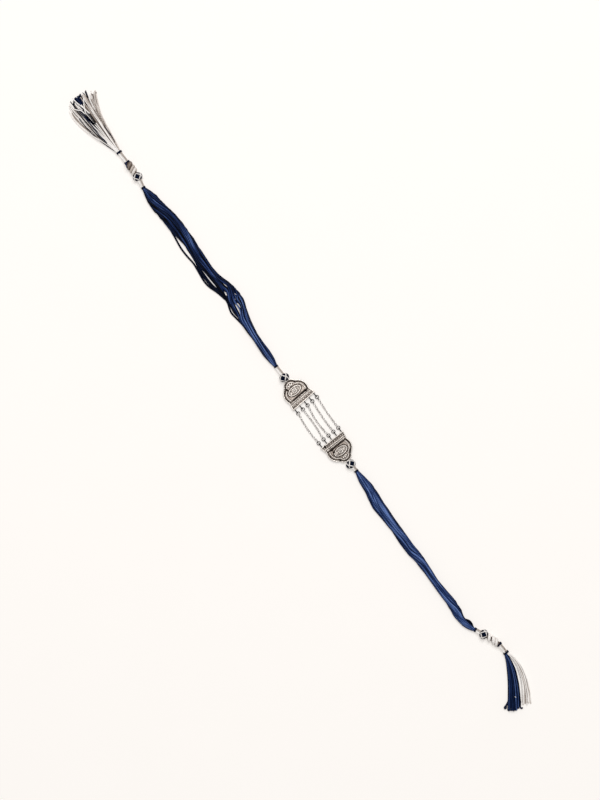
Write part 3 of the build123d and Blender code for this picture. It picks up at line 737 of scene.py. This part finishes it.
# Locks of a tassel, close to the solids', with the threads in each. reach is a share of the tassel's
# length; near, middle and tip are how far aside the lock runs at 0.35, 0.7 and the whole of its reach, as
# shares of the tassel's width; layer 0 lies on the table and 1 and 2 on the locks below; falls is the share of
# its reach where it starts to come down; wide and thick are shares of the lock's own size.
Lock = namedtuple("Lock", "reach near middle tip layer falls wide thick threads")
left_white_locks = [Lock(*row) for row in (
    (0.92, 0.17, 0.34, 0.7, 0, 0.36, 0.8, 1, 8),
    (0.95, 0.14, 0.28, 0.56, 0, 0.36, 0.8, 1, 8),
    (0.86, 0.1, 0.21, 0.36, 1, 0.36, 1, 1, 8),
    (0.99, 0.06, 0.14, 0.21, 1, 0.36, 1, 1, 9),
    (0.97, 0.03, 0.08, 0.13, 1, 0.36, 0.8, 1, 7),
    (0.86, 0, 0.02, 0.03, 1, 0.36, 0.8, 1, 6),
    (0.85, -0.05, -0.06, -0.1, 1, 0.36, 0.7, 1, 4),
    (0.89, -0.1, -0.15, -0.26, 1, 0.36, 0.6, 1, 3),
    (0.97, -0.14, -0.26, -0.24, 1, 0.36, 0.5, 1, 3),
    (0.88, -0.19, -0.36, -0.44, 1, 0.36, 0.6, 1, 4),
    (0.97, -0.24, -0.46, -0.48, 0, 0.36, 0.7, 1, 4),
    (0.88, -0.3, -0.58, -0.57, 0, 0.36, 0.8, 1, 5),
)]
left_navy_locks = [Lock(*row) for row in (
    (1, 0.01, 0.06, 0.07, 0, 0, 1.1, 1, 12),
    (1, -0.04, -0.05, -0.05, 0, 0, 1.1, 1, 12),
    (1, -0.09, -0.14, -0.16, 0, 0, 1.1, 1, 12),
    (0.97, -0.14, -0.25, -0.3, 0, 0, 0.9, 1, 8),
    (1, 0.02, 0.16, 0.38, 0, 0.1, 0.3, 0.8, 3),
    (1, 0.01, 0.12, 0.26, 0, 0.1, 0.3, 0.8, 3),
    (0.72, 0, -0.05, -0.08, 2, 0.52, 0.2, 0.6, 1),
    (0.8, -0.03, -0.14, -0.17, 2, 0.42, 0.2, 0.6, 1),
    (0.84, -0.21, -0.25, -0.27, 2, 0.08, 0.2, 0.6, 2),
    (0.99, -0.28, -0.35, -0.35, 2, 0.08, 0.2, 0.6, 1),
    (0.72, -0.3, -0.44, -0.47, 2, 0.4, 0.2, 0.6, 1),
)]
right_white_locks = [Lock(*row) for row in (
    (0.96, 0, -0.3, -0.73, 0, 0, 0.9, 1, 4),
    (1, 0.04, -0.22, -0.62, 0, 0, 0.9, 1, 5),
    (1, 0.07, -0.14, -0.5, 0, 0, 0.9, 1, 5),
)]
right_navy_locks = [Lock(*row) for row in (
    (0.95, -0.12, -0.46, -0.88, 0, 0, 0.9, 1.4, 20),
    (0.96, -0.19, -0.58, -1, 0, 0, 0.9, 1.5, 20),
    (0.93, -0.27, -0.69, -1.13, 0, 0, 0.9, 1.5, 20),
    (0.89, -0.34, -0.8, -1.26, 0, 0, 0.9, 1.4, 20),
)]

# Single threads that stray from each half of a tassel: their height, and points in millimetres seen from
# above, with the size there
stray_threads = {
    "tassel_navy_right": (0.7 * mm, [
        [(131, -1.2, 1), (133.6, -3.7, 1), (135.2, -5.4, 1.5), (136, -6.7, 1.8), (136.4, -7.5, 2.2),
         (136.7, -8, 3.2), (137, -8.4, 3.2), (137.2, -8.7, 1.2)],
        [(136, -0.6, 1.2), (138.6, -2, 1.4), (140.2, -3.2, 1.6), (140.9, -3.1, 1.8), (140.9, -2.5, 1.4)],
    ]),
    "tassel_white_right": (1.9 * mm, [
        [(135.3, -2.5, 0.3), (135.6, -2.4, 0.8), (135.9, -2.3, 0.3)],
    ]),
    "tassel_navy_left": (2.4 * mm, [
        [(-137.4, 0.9, 0.4), (-140, 1.2, 0.7), (-143.5, 1.3, 0.7), (-146, 1.6, 0.4)],
    ]),
    "tassel_white_left": (3.1 * mm, [
        [(-161.6, -2.4, 0.9), (-159.4, -2.1, 0.9), (-157, -1.5, 1), (-154.8, -0.9, 1), (-152.5, -0.4, 0.9)],
        [(-158.8, 1.1, 0.9), (-157.4, 0.3, 0.9), (-156.2, -0.5, 1), (-154.8, -1.2, 1), (-153, -1.8, 0.9)],
        [(-157.4, -4.3, 0.9), (-156.4, -3.5, 1), (-155.4, -2.5, 1), (-153.5, -2.1, 0.9)],
    ]),
}
tassel_width = 10.0 * mm
tassel_root = 0.92 * mm
root_spread = 0.6
lock_width = 1.55 * mm
lock_thickness = 1.1 * mm
thread_gap = 0.12 * mm
lock_stations = (0, 0.12, 0.24, 0.36, 0.5, 0.64, 0.78, 0.9, 1)
lock_bends = (0, 0.35, 0.7, 1)
lock_fall = 0.3
tassel_length = {"left": 27.9 * mm, "right": 21.7 * mm}


def through_four(values, share):
    """A smooth line through the values at a lock's bends, read at a share of the way."""
    return sum(value * math.prod((share - b) / (a - b) for b in lock_bends if b != a)
               for a, value in zip(lock_bends, values))


def lock_lines(head, sign, length, rows, lean):
    """The middle line, half width and half thickness of each lock, from its root in the head to its tip."""
    root = head + lean * (tassel_root / 2)
    room = tassel_root * (root_spread * abs(lean.z) + root_spread / 2 * abs(lean.y))
    order = sorted(row.near for row in rows)
    lines, wide, thick = [], [], []
    for row in rows:
        high = lock_thickness * row.thick / 2 + row.layer * (lock_thickness + thread_gap)
        spread = room * (2 * order.index(row.near) / (len(rows) - 1) - 1)
        values = (spread, row.near * tassel_width, row.middle * tassel_width, row.tip * tassel_width)
        line, halves, heights = [], [], []
        for share in lock_stations:
            drop = eased(min(1, max(0, (share - row.falls) / lock_fall)))
            line.append(Vector((root.x + sign * share * row.reach * length,
                                root.y + through_four(values, share),
                                root.z + (high - root.z) * drop)))
            halves.append(lock_width * row.wide / 2 * min(1, 0.3 + 2 * share))
            heights.append(lock_thickness * row.thick / 2 * min(1, 0.4 + 2 * share))
        lines.append(line)
        wide.append(halves)
        thick.append(heights)
    return lines, wide, thick


def make_tassel(side, colour, rows, lean, wander, ragged, dark, light, seed):
    """One half of a tassel, of loose threads."""
    sign = signs[side]
    node = f"tassel_{colour}_{side}"
    head = seat(f"wrap_tassel_{side}").finish
    lines, wide, thick = lock_lines(head, sign, tassel_length[side], rows, lean)
    pieces = []
    for number, row in enumerate(rows):
        pieces.append(grown(
            f"{node}_{number}", brush, [lines[number]],
            {"Material": silks[colour], "Threads": row.threads, "Wander": wander, "Ragged": ragged, "Dark": dark,
             "Light": light, "Seed": seed + 10 * number},
            wide=[wide[number]], thick=[thick[number]],
            edge=[-sign * ((number == 0) - (colour == "navy" and number == len(rows) - 1))]))
    height, strays = stray_threads[node]
    pieces.append(grown(
        f"{node}_strays", thread, [[Vector((x * mm, y * mm, height)) for x, y, size in row] for row in strays],
        {"Material": silks[colour], "Radius": white_thread, "Modelled": 0.0, "Step": 0.25 * mm},
        size=[[size for x, y, size in row] for row in strays],
        tone=[0.1 if colour == "navy" else 1.2] * len(strays)))
    finish_piece(joined(f"{colour}_tassel_{side}", pieces), f"{colour}_silk", node)


def joined(name, pieces):
    """Several pieces as one mesh."""
    bpy.ops.object.select_all(action="DESELECT")
    for piece in pieces:
        piece.select_set(True)
    bpy.context.view_layer.objects.active = pieces[0]
    bpy.ops.object.join()
    pieces[0].name = name
    pieces[0].data.name = name
    return pieces[0]


neck_cord = 0.33 * mm
neck_cords = [(s * 0.5 * mm, h * 0.36 * mm) for s in (-1, 1) for h in (-1, 1)]
neck_hold = 0.5 * mm


def make_neck(side, name, a, b):
    """A white neck: two pairs of cords side by side, from one piece into the next."""
    where = between(a, b)
    points = []
    for t in shares(8):
        flat = a.finish.lerp(b.start, t)
        points.append(Vector((flat.x, flat.y, a.finish.z + (b.start.z - a.finish.z) * eased(t))))
    points = [points[0] - where.ahead * neck_hold, *points, points[-1] + where.ahead * neck_hold]
    lines, tones = [], []
    for aside, above in neck_cords:
        lines.append([p + where.across * aside + Vector((0, 0, above)) for p in points])
        # painted shade: the pair of cords on the +y side is darker, the other pair lighter
        tones.append(0.75 - 0.45 * math.copysign(1, aside * where.across.y))
    dress("white", f"white_neck_{name}_{side}", f"neck_{name}_{side}", thread, lines,
          {"Radius": neck_cord, "Ply Pitch": 2.2 * mm, "Step": 0.2 * mm}, tone=tones)


# Windings: the radius of what each is wound on, and how far it fans out at its sides
Winding = namedtuple("Winding", "name node core fan")
windings = [
    Winding("inner_collar", "collar_inner", 0.80 * mm, 0.4),
    Winding("outer_collar", "collar_outer", 0.80 * mm, 0.4),
    Winding("ring_band", "wrap_ring", 1.08 * mm, 0.5),
    Winding("tassel_band", "wrap_tassel", 1.08 * mm, 0.5),
]
winding_turns = 4


def make_winding(side, row):
    """A navy thread wound round what one CAD piece holds."""
    node = f"{row.node}_{side}"
    where = seat(node)
    length = (where.finish - where.start).length
    dress("navy", f"{row.name}_{side}", node, winding, [[Vector(), Vector((0, 0, 1))]],
          {"Core Radius": row.core, "Length": length - 2 * winding_thread, "Turns": winding_turns, "Fan": row.fan},
          place=place_of(where) @ Matrix.Translation((winding_thread, 0, 0)))


ball_length = 2.8 * mm
ball_width = 4.4 * mm
ball_height = 3.8 * mm
ball_cord = 0.14 * mm
ball_threads = 4
ball_twist = 1.0
pair_gap = 0.95
crossing_depth = 0.4
ball_core_depth = 0.16 * mm
ball_core_thread = strand * 0.7
ball_core_turns = 9
ball_mouth = math.asin(0.45)
ball_fullness = 1 / 1.2


def ball_point(share, turn, depth):
    """A point on the ball at a share of its length and a turn round it, depth below its outside."""
    angle = ball_mouth + (math.pi - 2 * ball_mouth) * share
    x = ball_length / 2 * (1 - math.cos(angle) / math.cos(ball_mouth))
    swell = math.sin(angle) ** ball_fullness
    return Vector((x, (ball_width / 2 * swell - depth) * math.cos(turn),
                   (ball_height / 2 * swell - depth) * math.sin(turn)))


def make_ball(side, name, where, phase):
    """A ball of navy thread with a lattice of paired white cords crossing over it."""
    node = f"ball_{name}_{side}"
    core = [ball_point(share, math.tau * ball_core_turns * share, ball_core_depth + ball_core_thread)
            for share in shares(24 * ball_core_turns)]
    dress("navy", f"navy_ball_{name}_{side}", node, thread, [core],
          {"Radius": ball_core_thread, "Step": 0.3 * mm, "Sides": 8}, place=place_of(where), tone=[0.06])
    lines, tones = [], []
    for hand in (-1, 1):
        for k in range(ball_threads):
            for pair in (-1, 1):
                line = []
                for share in shares(24):
                    turn = math.tau * (k + phase - hand * (share - 0.5) * ball_twist) / ball_threads
                    near = pair_gap * ball_cord / (ball_width / 2)
                    # the two hands of the lattice pass over and under each other by turns
                    over = math.cos(math.tau * ball_twist * (share - 0.5) * 2) * hand
                    depth = ball_cord * (1 + crossing_depth - crossing_depth * over)
                    line.append(ball_point(share, turn + pair * near, depth))
                lines.append(line)
                tones.append(1.4 if pair > 0 else 1.2)
    dress("white", f"white_lattice_{name}_{side}", node, thread, lines,
          {"Radius": ball_cord, "Ply Pitch": 1.2 * mm, "Step": 0.2 * mm, "Sides": 9},
          place=place_of(where), tone=tones)


knot_radius = 1.65 * mm
knot_cord = 0.21 * mm
knot_band_cords = 5
knot_slant = math.radians(-25)
knot_core = 0.62 * mm
knot_core_cords = 6
band_rounding = 0.2
band_shading = 0.4

# The turns of each hitch: the middle's share of its length, half the width, and the tone, which paints shade on
# the darker turns
Turn = namedtuple("Turn", "at half tone")
hitch_turns = {
    "left": [Turn(0.22, 0.5 * mm, 0.9), Turn(0.46, 0.46 * mm, 0.5), Turn(0.77, 0.64 * mm, 0.15)],
    "right": [Turn(0.2, 0.42 * mm, 1.4), Turn(0.57, 0.6 * mm, 1.5), Turn(0.8, 0.52 * mm, 1.1)],
}


def make_knot(side, a, b, turns):
    """The white hitch: cords along its core, and rounded bands of thread laid slantwise round them."""
    where = between(a, b)
    length = (where.finish - where.start).length
    lines, tones = [], []
    for k in range(knot_core_cords):
        line = []
        for share in shares(8):
            turn = math.tau * k / knot_core_cords + 2 * share
            x = (share * 1.1 - 0.05) * length
            line.append(Vector((x, knot_core * math.cos(turn), knot_core * math.sin(turn))))
        lines.append(line)
        # painted shade: the core cords are dark, so the gaps between the bands look shaded
        tones.append(-0.3)
    hoop = knot_radius - knot_cord
    for band in turns:
        for cord in range(knot_band_cords):
            off = 2 * cord / (knot_band_cords - 1) - 1
            radius = hoop * (1 - band_rounding * off * off)
            line = []
            for share in shares(28):
                turn = math.tau * share
                x = band.at * length + off * band.half + math.tan(knot_slant) * radius * math.cos(turn)
                line.append(Vector((x, radius * math.cos(turn), radius * math.sin(turn))))
            lines.append(line)
            # painted shade, darker towards each band's edges as on a rounded band
            tones.append(band.tone - band_shading * off * off)
    dress("white", f"white_hitch_{side}", f"knot_{side}", thread, lines,
          {"Radius": knot_cord, "Ply Pitch": 2.4 * mm, "Step": 0.3 * mm}, place=place_of(where), tone=tones)


# A navy thread's end that lies over the left hitch, by points in millimetres
loose_end = [(-128.3, -0.3), (-127.7, -0.8), (-127, -1.15), (-126.2, -1.4)]


def make_loose_end(ring):
    """The end of a navy thread, laid over the hitch beside its ring."""
    middle = ring.start
    line = []
    for x, y in loose_end:
        rise = math.sqrt(max(0, knot_radius ** 2 - (y * mm - middle.y) ** 2))
        line.append(Vector((x * mm, y * mm, middle.z + rise + white_thread)))
    dress("navy", "navy_thread_end", "wrap_ring_left", thread, [line],
          {"Radius": white_thread, "Modelled": 0.0}, tone=[0.3])


def floor_and_light():
    """A pale table, a broad soft light high above it and light from all round."""
    mesh = bpy.data.meshes.new("table")
    corners = ((-1, -1), (1, -1), (1, 1), (-1, 1))
    mesh.from_pydata([(x * table_half, y * table_half, table_level) for x, y in corners], [], [(0, 1, 2, 3)])
    mesh.materials.append(table_paper())
    table = placed("table", mesh)
    lamp = bpy.data.lights.new("softbox", "AREA")
    lamp.shape = "SQUARE"
    lamp.size = softbox_size
    lamp.energy = softbox_power
    made = placed("softbox", lamp)
    made.location = softbox_place
    made.rotation_euler = softbox_place.to_track_quat("Z", "Y").to_euler()
    world = bpy.data.worlds.new("studio")
    world.use_nodes = True
    sky = world.node_tree.nodes["Background"].inputs
    sky["Color"].default_value = linear("#F6F5F4")
    sky["Strength"].default_value = surround
    bpy.context.scene.world = world
    bpy.context.scene.view_settings.view_transform = "Standard"


camera()
silks = {
    "navy": silk("dyed_navy_silk", "#000108", "#1E3261", "#6883BC", 0.02, 0.05, 0.9 * mm),
    "white": silk("undyed_white_silk", "#604F44", "#D8CCC2", "#FFFBF7", 0.1, 0.35, 0.5 * mm),
}
metal = blackened_silver()
wire = silver_wire()
thread = plied_thread_tree()
brush = brush_tree()
winding = winding_tree()

make_tie("left", 6.3 * mm, left_sections, left_packed_edge, left_partings, left_departures, left_rolls,
         left_tones, variety=0.46, count=30, seed=40)
make_tie("right", 5.1 * mm, right_sections, right_packed_edge, right_partings, right_departures, right_rolls,
         right_tones, variety=0.34, count=25, seed=80)

for side in signs:
    inner, outer, collar_in, collar_out, ring, wrap = (seat(f"{node}_{side}") for node in (
        "ball_inner", "ball_outer", "collar_inner", "collar_outer", "wrap_ring", "wrap_tassel"))
    make_neck(side, "inner", inner, collar_in)
    make_neck(side, "outer", collar_out, outer)
    make_neck(side, "tassel", ring, wrap)
    for row in windings:
        make_winding(side, row)
    make_ball(side, "inner", inner, 0.25)
    make_ball(side, "outer", outer, 0.5)
    make_knot(side, outer, ring, hitch_turns[side])

make_loose_end(seat("wrap_ring_left"))
up, aside = Vector((0, 0, 1)), Vector((0, 1, 0))
make_tassel("left", "white", left_white_locks, up,
            wander=0.5 * mm, ragged=0.07, dark=-0.05, light=2.4, seed=300)
make_tassel("left", "navy", left_navy_locks, -up,
            wander=0.4 * mm, ragged=0.05, dark=-0.3, light=0.4, seed=400)
make_tassel("right", "white", right_white_locks, aside,
            wander=0.5 * mm, ragged=0.06, dark=0.1, light=2.2, seed=500)
make_tassel("right", "navy", right_navy_locks, -aside,
            wander=0.3 * mm, ragged=0.04, dark=-0.1, light=0.75, seed=600)

for name, node in nodes.items():
    if name.startswith("plate") or name.startswith("chain"):
        node.data.materials.clear()
        node.data.materials.append(metal if name.startswith("plate") else wire)

floor_and_light()
